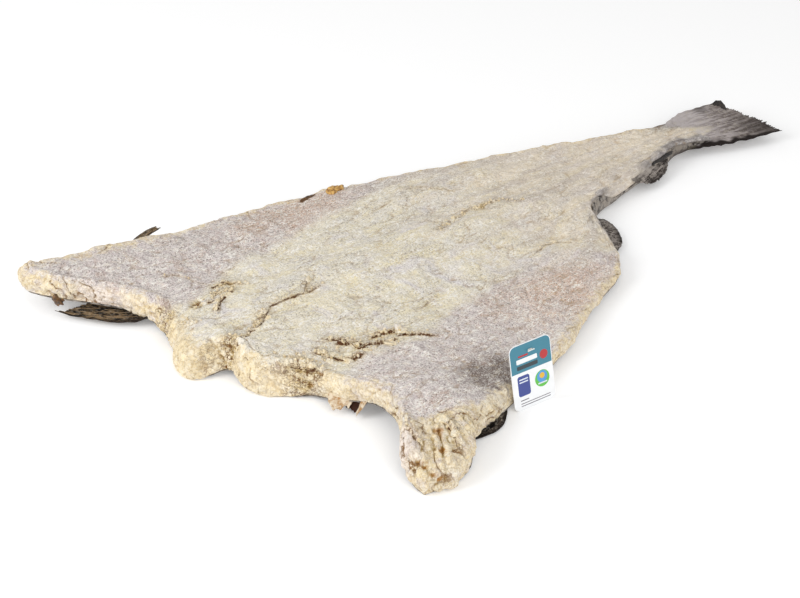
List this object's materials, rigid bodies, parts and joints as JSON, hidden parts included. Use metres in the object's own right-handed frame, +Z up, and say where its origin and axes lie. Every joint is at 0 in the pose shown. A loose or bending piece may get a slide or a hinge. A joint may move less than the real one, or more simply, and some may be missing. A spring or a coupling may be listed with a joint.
{
  "type": "salted dried cod",
  "caption": "Headless cod split open flat like a kite, salted and dried whole, flesh side up with dried fins and a hang tag, for a fish counter or kitchen scene.",
  "frame": {"origin": "bottom centre of the whole object's box, on the surface that the fish lies on", "axes": "+Y from the cut neck to the tail, +X to the right-hand side seen from the neck with the flesh up, +Z up out of the flesh side"},
  "size_m": [0.536, 0.865, 0.0675],
  "materials": {
    "dried_flesh": "salt-dried fish muscle, matt, fibrous and crumbly, frosted with fine salt",
    "dried_skin": "dried fish skin and fins, dark grey-brown, wrinkled, slightly waxy",
    "tag_card": "printed plastic card, semi-gloss",
    "nylon": "moulded nylon, translucent white"
  },
  "bodies": {
    "root": {"split_cod": "dried_flesh", "tag": "tag_card", "tag_pin": "nylon"}
  },
  "joints": []
}
